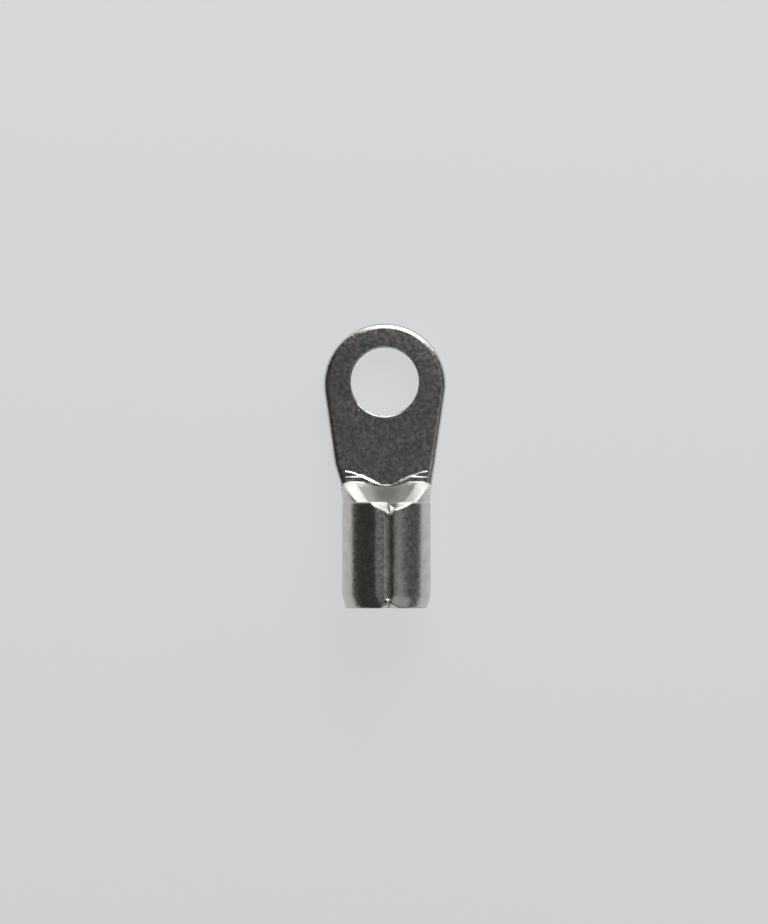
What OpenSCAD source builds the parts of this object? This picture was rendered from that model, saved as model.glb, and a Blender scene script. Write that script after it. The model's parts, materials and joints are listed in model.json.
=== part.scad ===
// Bare ring terminal for a crimped wire: one stamped sheet of tinned copper whose rear
// is rolled into a barrel, with its butt seam closed by silver braze.
// Origin: centre of the stud hole, on the underside of the tongue. +Y points to the
// tip, -Y to the wire, and +Z up to the side that shows the seam.

/* [Tongue] */
// Diameter of the stud hole
stud_hole_d = 4.3; // [3.2:0.1:5]
// Diameter of the round head of the tongue
head_d = 7.74; // [7:0.02:9]
// Distance from the middle of the stud hole to the tip
tip_reach = 3.68; // [3.4:0.02:4.6]
// Thickness of the tongue, coined a little thinner than the sheet
tongue_t = 1; // [0.7:0.05:1.05]
// Radius of the rolled-over upper edge that the blanking punch leaves
edge_roll = 0.35; // [0.1:0.05:0.45]
// Chamfer at the upper rim of the stud hole
hole_chamfer = 0.1; // [0.05:0.01:0.15]
// Distance from the hole to where the sides start to run in to the neck
shoulder_y = 5.14; // [4.8:0.02:5.5]
// Width of the tongue there
shoulder_w = 6.4; // [6.1:0.02:6.8]
// Radius of the corners of the tongue, seen from above
corner_r = 0.5; // [0.4:0.05:0.6]

/* [Neck] */
// How far the neck and the barrel sit to the right of the middle of the tongue
barrel_x = 0.1; // [0:0.02:0.2]
// Distance from the hole to the bend line, where the wings rise from the flat
bend_y = 6.37; // [6.2:0.01:6.6]
// Width of the sheet at the bend line
neck_w = 5.8; // [5.6:0.02:6]
// How far the underside of the barrel hangs below the underside of the tongue
drop = 0.45; // [0.2:0.05:0.7]
// How far ahead of the bend line the underside starts to slope down
slope_start = 0.42; // [0.3:0.02:0.5]
// Angle from the top of the barrel at which a wing's edge leaves the front rim
wing_top_a = 42; // [36:1:48]
// Angle from the top at which that edge comes down to the flat of the neck
wing_low_a = 114; // [108:1:118]
// How much that edge curves on its way; 1 would be a straight cut in the flat sheet
wing_edge_curve = 2.3; // [1.5:0.1:3]
// How much wider the channel between the wings opens than the bore, at the bend line
wing_flare = 0.12; // [0.05:0.01:0.2]
// Half width of the channel at the bend line
channel_half = 1.9; // [1.8:0.02:2]
// Half width of its flat floor there
floor_half = 1.1; // [0.9:0.05:1.2]
// How much smaller in radius the wings are than the barrel behind them
wing_step = 0.06; // [0.03:0.01:0.12]
// Height of each of the two coined steps across the neck
coin_step = 0.05; // [0.02:0.01:0.08]
// Sideways reach of half a wave of the coined step
coin_wave_half = 2.7; // [2.4:0.05:3]
// Height of that wave along the terminal, from its middle line
coin_wave_h = 0.43; // [0.2:0.01:0.5]
// Distance from the hole to the middle line of the wave
coin_wave_y = 6.13; // [6:0.01:6.2]
// Distance from the hole to the second step, where it parts from the wave
coin_fork_y = 6.03; // [5.95:0.01:6.1]
// How far behind the bend line the thicker sheet stays flat under the channel
coin_back = 0.45; // [0.3:0.05:0.5]

/* [Barrel] */
// Diameter of the bore that takes the stripped wire
bore_d = 3.4; // [3:0.05:3.6]
// Thickness of the sheet, which is the wall of the barrel
sheet_t = 1.1; // [1:0.05:1.2]
// Distance from the hole to the front rim of the barrel
barrel_y = 7.6; // [7.4:0.05:8]
// Length of the closed barrel
barrel_l = 6.7; // [5:0.1:9]
// Length of the bevel round the wire end
rear_bevel_l = 0.82; // [0.4:0.02:1.2]
// Depth of that bevel
rear_bevel_h = 0.24; // [0.1:0.02:0.4]
// Chamfer round the front rim
front_bevel = 0.08; // [0.04:0.01:0.15]

/* [Seam] */
// Turn of the seam from the very top of the barrel, in degrees
seam_turn = 4.9; // [0:0.1:8]
// Gap between the two butted edges
seam_gap = 0.08; // [0.05:0.01:0.12]
// Width over which the left wing runs down to the seam
seam_flat_w = 0.95; // [0.6:0.05:1.1]
// How far the left wing lies below the barrel's top at the seam
seam_low = 0.28; // [0.2:0.02:0.34]
// Chamfer on the edge of the right wing
seam_chamfer = 0.14; // [0.06:0.01:0.16]
// How far the left front corner is cut back at the seam
front_nick_left = 0.94; // [0.8:0.02:1.1]
// Angle at which the left front corner is cut back
front_nick_left_a = 31; // [20:1:35]
// How far the right front corner is cut back at the seam
front_nick_right = 0.52; // [0.4:0.02:0.7]
// Angle at which the right front corner is cut back
front_nick_right_a = 9; // [6:1:20]
// Lean of the cut faces of the front corners
front_nick_lean = 32; // [20:1:36]
// How far the corners at the wire end are cut back at the seam
rear_nick = 0.36; // [0.2:0.02:0.44]
// Angle at which the rear corners are cut back
rear_nick_a = 22; // [15:1:30]
// Lean of the cut faces of the rear corners
rear_nick_lean = 16; // [5:1:25]
// Width of the braze fillet, measured out from the gap
braze_w = 0.34; // [0.2:0.02:0.5]
// Height of the braze fillet on the right wing, above the left wing
braze_h = 0.12; // [0.06:0.01:0.16]
// Radius of the bead at each end of the braze
bead_r = 0.17; // [0.12:0.01:0.2]

/* [Hidden] */
$fn = 64;
// Overlap of cutters past the surface that they cut
past = 0.5;
// Length by which pieces of one solid run into each other
lap = 0.05;
// Small offset that keeps faceted and true faces from lying in one surface
skin = 0.01;
head_r = head_d / 2;
head_y = tip_reach - head_r;
bore_r = bore_d / 2;
barrel_r = bore_r + sheet_t;
wing_r = barrel_r - wing_step;
// Height of the barrel's middle line above the tongue's underside
axis_z = barrel_r - drop;
rear_y = barrel_y + barrel_l;
// Height of the sheet's upper face where it is not coined
sheet_top = tongue_t + 2 * coin_step;
// Where the underside starts to slope down from the tongue to the barrel
slope_y = bend_y - slope_start;
// Height of the left wing's edge at the seam, above the barrel's axis
seam_low_z = barrel_r - seam_low;
// Height of the barrel's surface where the left wing starts to run down
seam_flat_z = sqrt(barrel_r * barrel_r - seam_flat_w * seam_flat_w);
// Where the cut face of the left front corner meets the seam on the left wing
braze_front_y = barrel_y + front_nick_left
    - seam_low * tan(front_nick_lean) / cos(front_nick_left_a);
// Angles from the top at which the slanted edge of a wing is drawn
wing_steps = 24;
wing_angles = concat(
    [for (i = [0 : wing_steps]) wing_top_a + (wing_low_a - wing_top_a) * i / wing_steps],
    [wing_low_a + 18]
);

// A rod along Y, from one distance behind the hole to another, in the barrel's axis
module rod(r, from_y, to_y) {
    translate([0, -to_y, axis_z]) rotate([-90, 0, 0]) cylinder(h = to_y - from_y, r = r);
}

// A cone along Y in the same way, with its radius at each of the two distances
module taper(from_r, to_r, from_y, to_y) {
    translate([0, -to_y, axis_z])
        rotate([-90, 0, 0])
            cylinder(h = to_y - from_y, r1 = to_r, r2 = from_r);
}

// An outline drawn in X and Z about the barrel's axis, turned to the seam and run along Y
module along_seam(from_y, to_y) {
    translate([0, -from_y, axis_z])
        rotate([0, seam_turn, 0])
            rotate([90, 0, 0])
                linear_extrude(height = to_y - from_y) children();
}

// A disc of tongue thickness with a rolled-over upper edge
module puck(r) {
    roll = min(edge_roll, r - skin);
    rotate_extrude()
        polygon(concat(
            [[0, 0], [r, 0]],
            [for (a = [0 : 18 : 90]) [r - roll + roll * cos(a), tongue_t - roll + roll * sin(a)]],
            [[0, tongue_t]]
        ));
}

module tongue() {
    hull() {
        translate([0, head_y, 0]) puck(head_r);
        for (side = [-1, 1]) {
            translate([side * (shoulder_w / 2 - corner_r), -shoulder_y, 0]) puck(corner_r);
            translate([barrel_x + side * (neck_w / 2 - corner_r), -bend_y, 0]) puck(corner_r);
        }
    }
}

// Front edge of the coined step at a distance x from the middle
function wave(x) = -coin_wave_y - coin_wave_h * cos(180 * x / coin_wave_half);

// Where the sheet keeps its full thickness: two low steps that share one wave in the
// middle and part near the sides
module coined_steps() {
    front_half = shoulder_w / 2 - edge_roll - corner_r / 2;
    back_half = neck_w / 2 - edge_roll;
    xs = [for (i = [-12 : 12]) front_half * i / 12];
    for (step = [1, 2])
        translate([0, 0, tongue_t / 2])
            linear_extrude(height = tongue_t / 2 + step * coin_step)
                polygon(concat(
                    [[-back_half, -bend_y - coin_back]],
                    [for (x = xs) [x, step == 1 ? wave(x) : min(wave(x), -coin_fork_y)]],
                    [[back_half, -bend_y - coin_back]]
                ));
}

// The sheet between the tongue and the barrel: its underside slopes down and turns round
module neck_blend() {
    hull() {
        translate([-neck_w / 2 + corner_r, -slope_y, 0])
            cube([neck_w - 2 * corner_r, skin, tongue_t / 4]);
        translate([-neck_w / 2, -bend_y, skin])
            cube([neck_w, skin, tongue_t - edge_roll]);
        intersection() {
            rod(wing_r - skin, barrel_y - 2 * skin, barrel_y + skin, $fn = 48);
            translate([-barrel_r, -rear_y, -drop]) cube([2 * barrel_r, rear_y, axis_z + drop]);
        }
    }
}

// Distance from the hole to the edge of a wing, at an angle from the top of the barrel
function wing_edge(a) = bend_y + skin + (barrel_y - bend_y - skin)
    * pow(max(wing_low_a - a, 0) / (wing_low_a - wing_top_a), wing_edge_curve);

// The space behind the slanted edge of the right wing. Its front is square to the sheet
// all the way, as a punched edge stays when the sheet is rolled up.
module wing_space() {
    inner = bore_r / 2;
    outer = barrel_r + past;
    last = len(wing_angles) - 1;
    back = -barrel_y - lap;
    points = [for (a = wing_angles) each [
        [inner * sin(a), -wing_edge(a), inner * cos(a)],
        [outer * sin(a), -wing_edge(a), outer * cos(a)],
        [outer * sin(a), back, outer * cos(a)],
        [inner * sin(a), back, inner * cos(a)]
    ]];
    faces = concat(
        [[0, 1, 2, 3], [4 * last + 3, 4 * last + 2, 4 * last + 1, 4 * last]],
        [for (i = [0 : last - 1]) let (p = 4 * i, q = p + 4) each [
            [q + 1, p + 1, p],
            [q, q + 1, p],
            [q + 1, q + 2, p + 2, p + 1],
            [q + 2, q + 3, p + 3, p + 2],
            [q + 3, q, p, p + 3]
        ]]
    );
    translate([0, 0, axis_z]) polyhedron(points = points, faces = faces);
}

// The wings ahead of the barrel, cut on a slant from the bend line up to its front rim
module wings() {
    intersection() {
        rod(wing_r, bend_y - past, barrel_y + lap - skin);
        union() {
            wing_space();
            mirror([1, 0, 0]) wing_space();
        }
    }
}

module barrel_tube() {
    rod(barrel_r, barrel_y + front_bevel, rear_y - rear_bevel_l);
    taper(barrel_r - front_bevel, barrel_r, barrel_y, barrel_y + front_bevel);
    taper(barrel_r, barrel_r - rear_bevel_h, rear_y - rear_bevel_l, rear_y);
}

// The open channel between the wings, from the flat of the tongue into the bore
module channel() {
    corner = channel_half - floor_half;
    top_y = coin_wave_y + coin_wave_h;
    hull() {
        rod(bore_r, barrel_y, barrel_y + skin, $fn = 48);
        for (side = [-1, 1])
            translate([side * floor_half, -top_y, sheet_top + skin + corner])
                rotate([-90, 0, 0])
                    cylinder(h = top_y - bend_y + lap, r = corner, $fn = 32);
    }
    intersection() {
        taper(bore_r + wing_flare, bore_r, bend_y - lap, barrel_y + lap);
        translate([-barrel_r, -rear_y, axis_z]) cube([2 * barrel_r, rear_y, barrel_r]);
    }
}

// Outline of the groove between the two butted edges, about the barrel's axis
module seam_outline() {
    polygon([
        [-seam_gap / 2, 0],
        [seam_gap / 2, 0],
        [seam_gap / 2, barrel_r - seam_chamfer],
        [seam_gap / 2 + seam_chamfer, barrel_r + skin],
        [seam_gap / 2 + seam_chamfer, barrel_r + past],
        [-seam_flat_w, barrel_r + past],
        [-seam_flat_w, seam_flat_z],
        [-seam_gap / 2, seam_low_z]
    ]);
}

// Height of the left wing's run-down at a distance x from the middle of the gap
function run_down(x) = seam_low_z
    + (-seam_gap / 2 - x) * (seam_flat_z - seam_low_z) / (seam_flat_w - seam_gap / 2);

// Outline of the braze: a thin web in the gap, with a hollow fillet on the left wing
module braze_outline() {
    span = braze_w + seam_gap;
    polygon(concat(
        [[-seam_gap / 2, seam_low_z], [-seam_gap / 2, bore_r], [seam_gap / 2, bore_r]],
        [for (t = [0 : 1 / 6 : 1])
            let (x = seam_gap / 2 - span * t)
            [x, max(run_down(x), seam_low_z) + braze_h * pow(1 - t, 2)]]
    ));
}

// The space in front of one corner of the seam, which is cut back and leans.
// The end of the barrel lies at y = 0 and its top at z = 0.
module nick(back, angle, lean, side) {
    translate([0, -back, 0])
        rotate([0, 0, side * angle])
            rotate([lean, 0, 0])
                translate([side > 0 ? 0 : -barrel_r, 0, -sheet_t - past])
                    cube([barrel_r, barrel_r, sheet_t + 2 * past]);
}

// The corners at both ends of the seam
module nicks() {
    translate([0, 0, axis_z])
        rotate([0, seam_turn, 0]) {
            translate([0, -barrel_y, barrel_r]) {
                nick(front_nick_left, front_nick_left_a, front_nick_lean, -1);
                nick(front_nick_right, front_nick_right_a, front_nick_lean, 1);
            }
            translate([0, -rear_y, barrel_r])
                mirror([0, 1, 0]) {
                    nick(rear_nick, rear_nick_a, rear_nick_lean, -1);
                    nick(rear_nick, rear_nick_a, rear_nick_lean, 1);
                }
        }
}

// Moves what is drawn about the barrel's own axis to where the neck and the barrel sit
module at_barrel() {
    translate([barrel_x, 0, 0]) children();
}

module terminal_body() {
    color("silver")
        difference() {
            union() {
                difference() {
                    union() {
                        tongue();
                        at_barrel() {
                            coined_steps();
                            neck_blend();
                            wings();
                        }
                    }
                    at_barrel() channel();
                }
                at_barrel()
                    difference() {
                        barrel_tube();
                        along_seam(barrel_y - past, rear_y + past) seam_outline();
                        nicks();
                    }
            }
            at_barrel() rod(bore_r, barrel_y, rear_y + past);
            translate([0, 0, -past]) cylinder(h = tongue_t + 2 * past, d = stud_hole_d);
            translate([0, 0, tongue_t - hole_chamfer])
                cylinder(
                    h = hole_chamfer + skin,
                    d1 = stud_hole_d,
                    d2 = stud_hole_d + 2 * (hole_chamfer + skin)
                );
        }
}

// A drop of braze that lies in the groove, at a distance behind the hole
module bead(y) {
    difference() {
        translate([0, -y, axis_z])
            rotate([0, seam_turn, 0])
                translate([-bead_r, 0, seam_low_z + braze_h / 2])
                    sphere(r = bead_r);
        along_seam(y - past, y + past)
            difference() {
                circle(r = barrel_r);
                seam_outline();
            }
    }
}

module seam_braze() {
    color("lightgray")
        at_barrel() {
            along_seam(braze_front_y, rear_y - rear_nick) braze_outline();
            bead(braze_front_y);
            bead(rear_y - rear_nick - bead_r / 2);
        }
}

terminal_body();
seam_braze();
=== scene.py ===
import json
import math

import bmesh
import bpy
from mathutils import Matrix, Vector


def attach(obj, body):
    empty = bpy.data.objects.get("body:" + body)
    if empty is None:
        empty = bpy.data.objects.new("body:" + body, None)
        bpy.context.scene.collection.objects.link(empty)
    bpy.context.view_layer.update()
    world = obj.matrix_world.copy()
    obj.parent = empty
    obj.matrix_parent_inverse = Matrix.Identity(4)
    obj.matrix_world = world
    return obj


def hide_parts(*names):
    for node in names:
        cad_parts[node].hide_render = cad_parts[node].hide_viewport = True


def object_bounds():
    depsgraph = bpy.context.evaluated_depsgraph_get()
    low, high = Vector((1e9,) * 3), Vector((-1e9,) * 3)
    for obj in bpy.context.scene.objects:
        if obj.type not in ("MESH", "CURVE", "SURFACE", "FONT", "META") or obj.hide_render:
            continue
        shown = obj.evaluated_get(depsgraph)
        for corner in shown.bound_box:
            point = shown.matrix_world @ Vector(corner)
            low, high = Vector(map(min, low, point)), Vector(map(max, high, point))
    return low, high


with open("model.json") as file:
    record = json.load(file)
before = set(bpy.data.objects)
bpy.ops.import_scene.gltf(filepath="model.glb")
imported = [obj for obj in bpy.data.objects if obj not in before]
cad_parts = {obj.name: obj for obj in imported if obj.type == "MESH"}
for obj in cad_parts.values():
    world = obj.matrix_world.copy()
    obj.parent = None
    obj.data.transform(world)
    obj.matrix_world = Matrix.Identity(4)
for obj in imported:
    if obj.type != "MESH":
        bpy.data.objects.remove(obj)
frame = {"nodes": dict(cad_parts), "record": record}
cad_low, cad_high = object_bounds()

# ---------------------------------------------------------------- Terminal body
# One blank of copper sheet, punched out, with its tongue coined flat and its two wings
# rolled up into the barrel. Matt tin is plated on last, tumbling in a drum, and leaves a
# cloudy grain and a few pits.
mounts = {mount["name"]: mount for mount in frame["record"]["mounts"]}
barrel = mounts["wire_barrel"]
barrel_rear = Vector(barrel["pos_m"])
barrel_front_y = barrel_rear.y + barrel["dims"]["length_mm"] / 1000
bore_radius = barrel["dims"]["r_mm"] / 1000
tongue_top_z = mounts["tongue_top"]["pos_m"][2]

merge_distance = 0.000002
flat_angle = math.radians(0.5)
sharp_angle = math.radians(22)

# The coined steps across the neck: where they lie, and how far a riser leans for its height.
steps_y = (barrel_front_y + 0.0009, barrel_front_y + 0.0020)
steps_z = (tongue_top_z - 0.00001, tongue_top_z + 0.00012)
riser_lean = 1.6
column_width = 0.000004

# Where bending and rolling have softened the sheet; the neck's mask also lays painted light.
# Each pair says where that begins and where it is full: in from the outer skin, behind the
# last step's wave, which dips in the middle, ahead of the barrel's front, and along the barrel.
neck_wall_fade = (bore_radius + 0.0012, bore_radius + 0.0008)
neck_wave_fade = (barrel_front_y + 0.00103, barrel_front_y + 0.00093)
neck_end_fade = (barrel_front_y - 0.0003, barrel_front_y - 0.00002)
wave_half_fade = (0.0003, 0.0017)
wave_dip = 0.00028
barrel_fade = (barrel_front_y + 0.00005, barrel_front_y - 0.0003)

# How far the edges are rounded: by punching, by rolling and, inside the neck, by bending.
punched_edge_radius = 0.00004
rolled_edge_radius = 0.00024
bent_edge_radius = 0.0006
bent_roughness = 0.65
# Painted light: a lighter colour screened over the neck's inside, standing in for light bouncing
# into that hollow.
neck_painted_light_color = (0.66, 0.63, 0.60, 1)

tin_dark_color = (0.56, 0.56, 0.54)
tin_light_color = (0.84, 0.82, 0.80)
tin_roughness = (0.2, 0.34)
tin_grain_depth = 0.000003


def smoothed_copy(name, node, reshape=None):
    """A copy of a CAD node, reshaped if asked, smooth except at its sharp edges."""
    mesh = bpy.data.meshes.new(name)
    bm = bmesh.new()
    bm.from_mesh(frame["nodes"][node].data)
    bmesh.ops.remove_doubles(bm, verts=bm.verts, dist=merge_distance)
    bmesh.ops.dissolve_limit(
        bm,
        angle_limit=flat_angle,
        use_dissolve_boundaries=False,
        verts=bm.verts,
        edges=bm.edges,
    )
    if reshape:
        reshape(bm)
    bmesh.ops.triangulate(bm, faces=bm.faces)
    for face in bm.faces:
        face.smooth = True
    for edge in bm.edges:
        edge.smooth = edge.calc_face_angle(0) < sharp_angle
    bm.to_mesh(mesh)
    bm.free()
    piece = bpy.data.objects.new(name, mesh)
    bpy.context.scene.collection.objects.link(piece)
    weighted = piece.modifiers.new("weighted_normals", "WEIGHTED_NORMAL")
    weighted.keep_sharp = True
    return piece


def lean_risers(bm):
    """Leans the coined steps' upright risers towards the tip, as the punch leaves them."""
    risers = [
        vert
        for vert in bm.verts
        if steps_y[0] < vert.co.y < steps_y[1] and steps_z[0] < vert.co.z < steps_z[1]
    ]
    places = [vert.co.copy() for vert in risers]
    for vert, place in zip(risers, places):
        top = max(other.z for other in places if (other.xy - place.xy).length < column_width)
        vert.co.y += riser_lean * (top - place.z)


def add_node(tree, kind, inputs, **properties):
    """A shader node with its properties set, and each input given a value or a link."""
    node = tree.nodes.new("ShaderNode" + kind)
    for label, value in properties.items():
        setattr(node, label, value)
    for label, value in inputs.items():
        if isinstance(value, bpy.types.NodeSocket):
            tree.links.new(value, node.inputs[label])
        else:
            node.inputs[label].default_value = value
    return node


def new_group(name, inputs, outputs):
    """A node group with its sockets, and its input and output nodes."""
    group = bpy.data.node_groups.new(name, "ShaderNodeTree")
    for label, value in inputs.items():
        kind = "NodeSocketFloat" if isinstance(value, float) else "NodeSocketColor"
        socket = group.interface.new_socket(name=label, in_out="INPUT", socket_type=kind)
        socket.default_value = value
    for label, kind in outputs.items():
        group.interface.new_socket(name=label, in_out="OUTPUT", socket_type=kind)
    return group, group.nodes.new("NodeGroupInput"), group.nodes.new("NodeGroupOutput")


def set_stops(ramp, stops):
    """Gives a colour ramp its stops, from low to high."""
    elements = ramp.color_ramp.elements
    for position, _ in stops[1:-1]:
        elements.new(position)
    for element, (position, color) in zip(elements, stops):
        element.position = position
        element.color = (*color, 1)


def plated_grain_group():
    """Tin as plated: clouds under a faint film of colour, fine grain, pits and soft edges."""
    group, given, result = new_group(
        "plated_grain",
        {
            "Patch Scale": 1500.0,
            "Cloud Scale": 4200.0,
            "Grain Scale": 9000.0,
            "Pit Scale": 1900.0,
            "Pit Width": 0.11,
            "Pit Depth": 0.00003,
            "Unpitted Share": 0.87,
            "Roughness Low": 0.2,
            "Roughness High": 0.35,
            "Grain Depth": 0.000004,
            "Edge Radius": 0.00003,
            "Dark Color": (0.5, 0.5, 0.5, 1),
            "Light Color": (0.8, 0.8, 0.8, 1),
        },
        {"Color": "NodeSocketColor", "Roughness": "NodeSocketFloat", "Normal": "NodeSocketVector"},
    )
    given = given.outputs
    place = add_node(group, "TexCoord", {}).outputs["Object"]

    def noise(scale, detail):
        inputs = {"Vector": place, "Scale": scale, "Detail": detail}
        return add_node(group, "TexNoise", inputs).outputs["Fac"]

    clouds = noise(given["Cloud Scale"], 4.0)
    tint = add_node(
        group,
        "Mix",
        {"Factor": clouds, "A": given["Dark Color"], "B": given["Light Color"]},
        data_type="RGBA",
    )
    film = add_node(group, "ValToRGB", {"Fac": noise(given["Patch Scale"], 3.0)})
    set_stops(film, ((0.36, (0.80, 0.86, 0.82)), (0.64, (1.0, 0.955, 0.97))))
    filmed = add_node(
        group,
        "Mix",
        {"Factor": 1.0, "A": tint.outputs["Result"], "B": film.outputs["Color"]},
        data_type="RGBA",
        blend_type="MULTIPLY",
    )
    group.links.new(filmed.outputs["Result"], result.inputs["Color"])

    rough = add_node(
        group,
        "MapRange",
        {
            "Value": clouds,
            "From Min": 0.3,
            "From Max": 0.7,
            "To Min": given["Roughness Low"],
            "To Max": given["Roughness High"],
        },
    )
    group.links.new(rough.outputs["Result"], result.inputs["Roughness"])

    # One cell in eight or so has a pit at its middle.
    cells = add_node(group, "TexVoronoi", {"Vector": place, "Scale": given["Pit Scale"]})
    bowl = add_node(
        group,
        "MapRange",
        {"Value": cells.outputs["Distance"], "From Min": 0.0, "From Max": given["Pit Width"]},
        interpolation_type="SMOOTHSTEP",
    )
    draw = add_node(group, "SeparateColor", {"Color": cells.outputs["Color"]})
    level = add_node(
        group,
        "Math",
        {0: draw.outputs["Red"], 1: given["Unpitted Share"]},
        operation="LESS_THAN",
    )
    pits = add_node(
        group,
        "Math",
        {0: bowl.outputs["Result"], 1: level.outputs["Value"]},
        operation="MAXIMUM",
    )
    edges = add_node(group, "Bevel", {"Radius": given["Edge Radius"]}, samples=6)
    pitted = add_node(
        group,
        "Bump",
        {
            "Distance": given["Pit Depth"],
            "Height": pits.outputs["Value"],
            "Normal": edges.outputs["Normal"],
        },
    )
    grained = add_node(
        group,
        "Bump",
        {
            "Distance": given["Grain Depth"],
            "Height": noise(given["Grain Scale"], 3.0),
            "Normal": pitted.outputs["Normal"],
        },
    )
    group.links.new(grained.outputs["Normal"], result.inputs["Normal"])
    return group


plated_grain = plated_grain_group()


def formed_zones_group():
    """Masks of the inside of the neck, where the sheet is bent and painted light is laid, and of the
    rolled barrel.
    """
    group, given, result = new_group(
        "formed_zones", {}, {"Neck": "NodeSocketFloat", "Barrel": "NodeSocketFloat"}
    )
    place = add_node(group, "TexCoord", {}).outputs["Object"]
    parts = add_node(group, "SeparateXYZ", {"Vector": place})

    def fade(source, start, end, reach=1.0):
        inputs = {"Value": source, "From Min": start, "From Max": end, "To Max": reach}
        ramp = add_node(group, "MapRange", inputs, interpolation_type="SMOOTHSTEP")
        return ramp.outputs["Result"]

    def maths(operation, *inputs):
        return add_node(group, "Math", dict(enumerate(inputs)), operation=operation).outputs["Value"]

    axis = (barrel_rear.x, 0, barrel_rear.z)
    offset = add_node(group, "VectorMath", {0: place, 1: axis}, operation="SUBTRACT")
    across = add_node(
        group,
        "VectorMath",
        {0: offset.outputs["Vector"], 1: (1, 0, 1)},
        operation="MULTIPLY",
    )
    radius = add_node(group, "VectorMath", {0: across.outputs["Vector"]}, operation="LENGTH")
    wall = fade(radius.outputs["Value"], *neck_wall_fade)
    rise = fade(maths("ABSOLUTE", parts.outputs["X"]), *wave_half_fade, wave_dip)
    behind = fade(maths("SUBTRACT", parts.outputs["Y"], rise), *neck_wave_fade)
    ahead = fade(parts.outputs["Y"], *neck_end_fade)
    neck = maths("MULTIPLY", maths("MULTIPLY", wall, ahead), behind)
    group.links.new(neck, result.inputs["Neck"])
    group.links.new(fade(parts.outputs["Y"], *barrel_fade), result.inputs["Barrel"])
    return group


def plated_metal(name, dark, light, roughness, grain_depth, edge_radius):
    """A metal with the plated grain in its colour, roughness and normal."""
    material = bpy.data.materials.new(name)
    material.use_nodes = True
    tree = material.node_tree
    shader = tree.nodes["Principled BSDF"]
    shader.inputs["Metallic"].default_value = 1.0
    grain = add_node(
        tree,
        "Group",
        {
            "Dark Color": (*dark, 1),
            "Light Color": (*light, 1),
            "Roughness Low": roughness[0],
            "Roughness High": roughness[1],
            "Grain Depth": grain_depth,
            "Edge Radius": edge_radius,
        },
        node_tree=plated_grain,
        name="grain",
    )
    tree.links.new(grain.outputs["Color"], shader.inputs["Base Color"])
    tree.links.new(grain.outputs["Roughness"], shader.inputs["Roughness"])
    tree.links.new(grain.outputs["Normal"], shader.inputs["Normal"])
    return material


def soften_zones_and_paint_neck_light(material):
    """Rounds the barrel's edges, rounds and roughens the inside of the neck, and paints light there.
    """
    tree = material.node_tree
    shader = tree.nodes["Principled BSDF"]
    grain = tree.nodes["grain"]
    zones = add_node(tree, "Group", {}, node_tree=formed_zones_group()).outputs
    rolled = add_node(
        tree,
        "Mix",
        {"Factor": zones["Barrel"], "A": punched_edge_radius, "B": rolled_edge_radius},
    )
    rounded = add_node(
        tree,
        "Mix",
        {"Factor": zones["Neck"], "A": rolled.outputs["Result"], "B": bent_edge_radius},
    )
    tree.links.new(rounded.outputs["Result"], grain.inputs["Edge Radius"])
    rougher = add_node(
        tree,
        "Mix",
        {"Factor": zones["Neck"], "A": grain.outputs["Roughness"], "B": bent_roughness},
    )
    tree.links.new(rougher.outputs["Result"], shader.inputs["Roughness"])
    # Painted light: the neck's colour is screened lighter, standing in for the light in that hollow.
    painted_neck_light = add_node(
        tree,
        "Mix",
        {"Factor": zones["Neck"], "A": grain.outputs["Color"], "B": neck_painted_light_color},
        data_type="RGBA",
        blend_type="SCREEN",
    )
    tree.links.new(painted_neck_light.outputs["Result"], shader.inputs["Base Color"])


tin = plated_metal(
    "matt_tin_plate",
    tin_dark_color,
    tin_light_color,
    tin_roughness,
    tin_grain_depth,
    punched_edge_radius,
)
soften_zones_and_paint_neck_light(tin)
body = smoothed_copy("tinned_body", "terminal_body", lean_risers)
body.data.materials.append(tin)
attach(body, "root")
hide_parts("terminal_body")

# ---------------------------------------------------------------- Seam braze
# Silver braze, melted into the barrel's butt seam before plating: a web in the gap, a small
# hollow fillet against the right wing, and a bead at each end of the seam.
braze_dark_color = (0.66, 0.64, 0.61)
braze_light_color = (0.84, 0.81, 0.78)
braze_roughness = (0.32, 0.46)
braze_grain_depth = 0.000004
braze_edge_radius = 0.000002

plated_braze = plated_metal(
    "plated_braze",
    braze_dark_color,
    braze_light_color,
    braze_roughness,
    braze_grain_depth,
    braze_edge_radius,
)
braze = smoothed_copy("braze_line", "seam_braze")
braze.data.materials.append(plated_braze)
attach(braze, "root")
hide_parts("seam_braze")

# ---------------------------------------------------------------- Floor
# A sheet of pale card, lit through from below so that it carries almost no shadow, and a
# little brighter and cooler towards the window. The barrel's pale side bands mirror it.
view_centre = (cad_low + cad_high) / 2 + Vector((-0.00005, 0.00023, 0))
floor_half = Vector((0.0265, 0.0312))
floor_base_color = (0.10, 0.10, 0.10, 1)
floor_roughness = 0.9
floor_specular = 0.2
floor_near_glow = (0.962, 0.957, 0.955, 1)
floor_far_glow = (1.01, 1.03, 1.045, 1)
floor_glow_strength = 0.605

floor_mesh = bpy.data.meshes.new("table_top")
bm = bmesh.new()
bmesh.ops.create_grid(bm, x_segments=1, y_segments=1, size=1)
bmesh.ops.scale(bm, vec=(floor_half.x, floor_half.y, 1), verts=bm.verts)
bmesh.ops.translate(bm, vec=(view_centre.x, view_centre.y, cad_low.z), verts=bm.verts)
bm.to_mesh(floor_mesh)
bm.free()
floor = bpy.data.objects.new("table_top", floor_mesh)
bpy.context.scene.collection.objects.link(floor)

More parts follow.
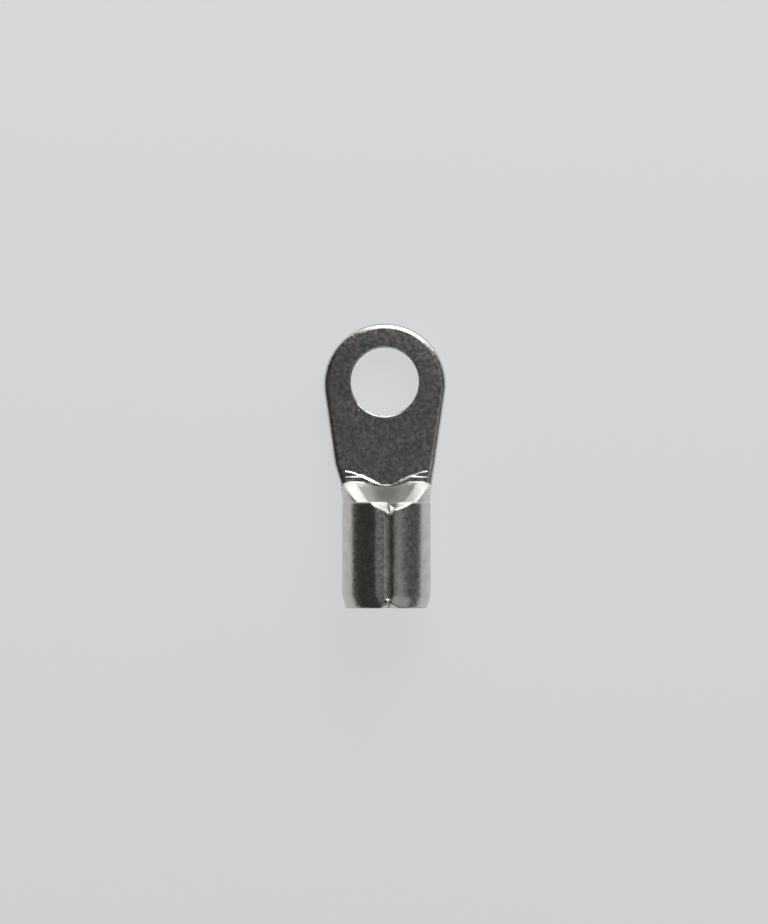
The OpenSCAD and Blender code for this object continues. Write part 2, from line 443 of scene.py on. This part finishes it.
card = bpy.data.materials.new("pale_card")
card.use_nodes = True
card_tree = card.node_tree
card_shader = card_tree.nodes["Principled BSDF"]
card_shader.inputs["Base Color"].default_value = floor_base_color
card_shader.inputs["Roughness"].default_value = floor_roughness
card_shader.inputs["Specular IOR Level"].default_value = floor_specular
card_shader.inputs["Emission Strength"].default_value = floor_glow_strength
card_place = add_node(card_tree, "TexCoord", {})
card_parts = add_node(card_tree, "SeparateXYZ", {"Vector": card_place.outputs["Object"]})
card_fall = add_node(
    card_tree,
    "MapRange",
    {
        "Value": card_parts.outputs["Y"],
        "From Min": view_centre.y - floor_half.y,
        "From Max": view_centre.y + floor_half.y,
    },
)
card_glow = add_node(
    card_tree,
    "Mix",
    {"Factor": card_fall.outputs["Result"], "A": floor_near_glow, "B": floor_far_glow},
    data_type="RGBA",
)
card_tree.links.new(card_glow.outputs["Result"], card_shader.inputs["Emission Color"])
floor.data.materials.append(card)

# ---------------------------------------------------------------- Light
# A tall soft window beyond the tip, a little to the right, with a low wide sill of light
# under it, and a dim wall behind on the right. The room overhead is darker on the left.
light_aim = Vector((0, -0.005, 0))


def soft_box(name, place, width, height, power):
    """An even rectangular light at a place, turned to face the terminal."""
    data = bpy.data.lights.new(name, "AREA")
    data.shape = "RECTANGLE"
    data.size = width
    data.size_y = height
    data.energy = power
    lamp = bpy.data.objects.new(name, data)
    lamp.location = place
    lamp.rotation_euler = (light_aim - Vector(place)).to_track_quat("-Z", "Y").to_euler()
    bpy.context.scene.collection.objects.link(lamp)


soft_box("window", (0.09, 0.37, 0.30), 0.30, 0.40, 1.5)
soft_box("window_sill", (0.10, 0.42, 0.095), 0.74, 0.12, 1.3)
soft_box("far_wall", (0.34, -0.36, 0.46), 0.66, 0.62, 0.46)

world = bpy.data.worlds.new("dim_room")
bpy.context.scene.world = world
world.use_nodes = True
room_tree = world.node_tree
direction = add_node(room_tree, "TexCoord", {})
room_parts = add_node(room_tree, "SeparateXYZ", {"Vector": direction.outputs["Generated"]})
left_to_right = add_node(
    room_tree,
    "MapRange",
    {"Value": room_parts.outputs["X"], "From Min": -1.0, "From Max": 1.0},
)
room_color = add_node(room_tree, "ValToRGB", {"Fac": left_to_right.outputs["Result"]})
room_color.color_ramp.interpolation = "B_SPLINE"
set_stops(
    room_color,
    (
        (0.0, (0.041, 0.043, 0.038)),
        (0.25, (0.028, 0.028, 0.026)),
        (0.5, (0.074, 0.074, 0.073)),
        (0.75, (0.066, 0.060, 0.060)),
        (1.0, (0.085, 0.087, 0.087)),
    ),
)
room_tree.links.new(room_color.outputs["Color"], room_tree.nodes["Background"].inputs["Color"])

# ---------------------------------------------------------------- Camera
# Straight above the terminal, with the tip up, and far enough away that the barrel's top
# and the tongue keep the same scale.
camera_height = 1.0
frame_height = 0.0585
sensor_width = 36.0

camera_data = bpy.data.cameras.new("camera")
camera_data.sensor_width = sensor_width
camera_data.lens = sensor_width * camera_height / frame_height
camera_data.clip_start = 0.01
camera_data.clip_end = 5.0
camera = bpy.data.objects.new("camera", camera_data)
camera.location = (view_centre.x, view_centre.y, camera_height)
bpy.context.scene.collection.objects.link(camera)
bpy.context.scene.camera = camera
bpy.context.scene.view_settings.view_transform = "Standard"
